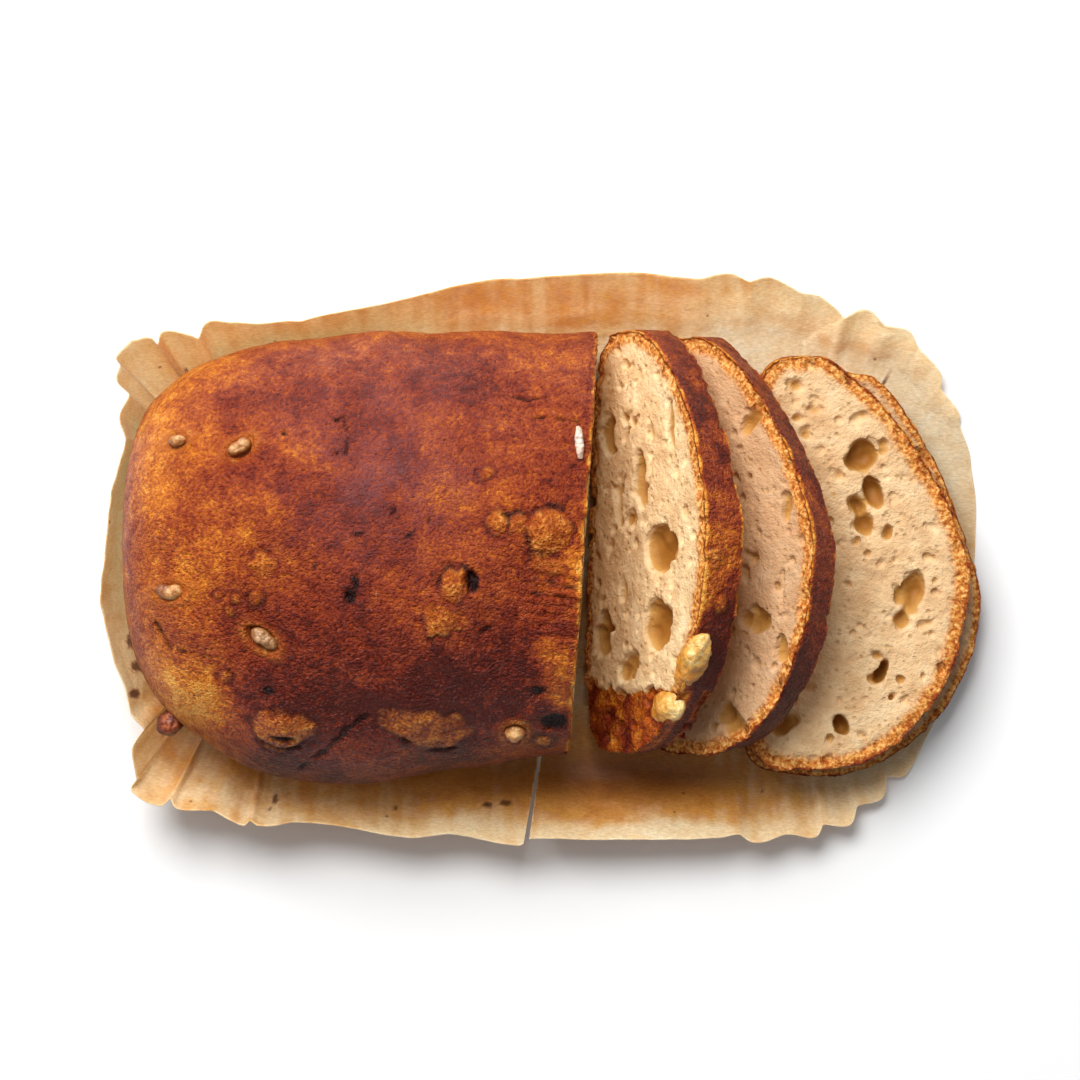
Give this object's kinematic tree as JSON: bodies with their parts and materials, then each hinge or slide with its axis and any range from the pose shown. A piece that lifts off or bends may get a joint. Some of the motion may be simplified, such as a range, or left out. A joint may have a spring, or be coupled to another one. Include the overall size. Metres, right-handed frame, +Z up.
{
  "type": "sliced sugar bread in baking paper",
  "caption": "Domed brown tin loaf with baked-in sugar nibs, cut at one end, its slices fanned out beside it, lying in an opened brown paper loaf case.",
  "frame": {"origin": "middle of the whole, on the surface that the paper lies on", "axes": "+X along the loaf from its uncut end to the slices, +Y towards the back, +Z up"},
  "size_m": [0.2412, 0.1578, 0.0639],
  "materials": {
    "crust": "baked reddish-brown crust with a soft shine, orange at its edges",
    "crumb": "open cream crumb with a golden rim and a thin brown crust",
    "sugar": "half-melted pale yellow sugar",
    "paper": "greased brown baking paper, stained and pleated at its corners"
  },
  "bodies": {
    "root": {"loaf": "crust", "slice_1": "crumb", "slice_2": "crumb", "slice_3": "crumb", "slice_4": "crumb", "paper_case": "paper", "nib_flake": "sugar", "nib_pit_back": "sugar", "nib_pit_end": "sugar", "nib_pit_front": "sugar", "nib_end": "sugar", "nib_caramel": "sugar", "nib_chip": "sugar", "nib_melted": "sugar", "nib_honey": "sugar"}
  },
  "joints": []
}
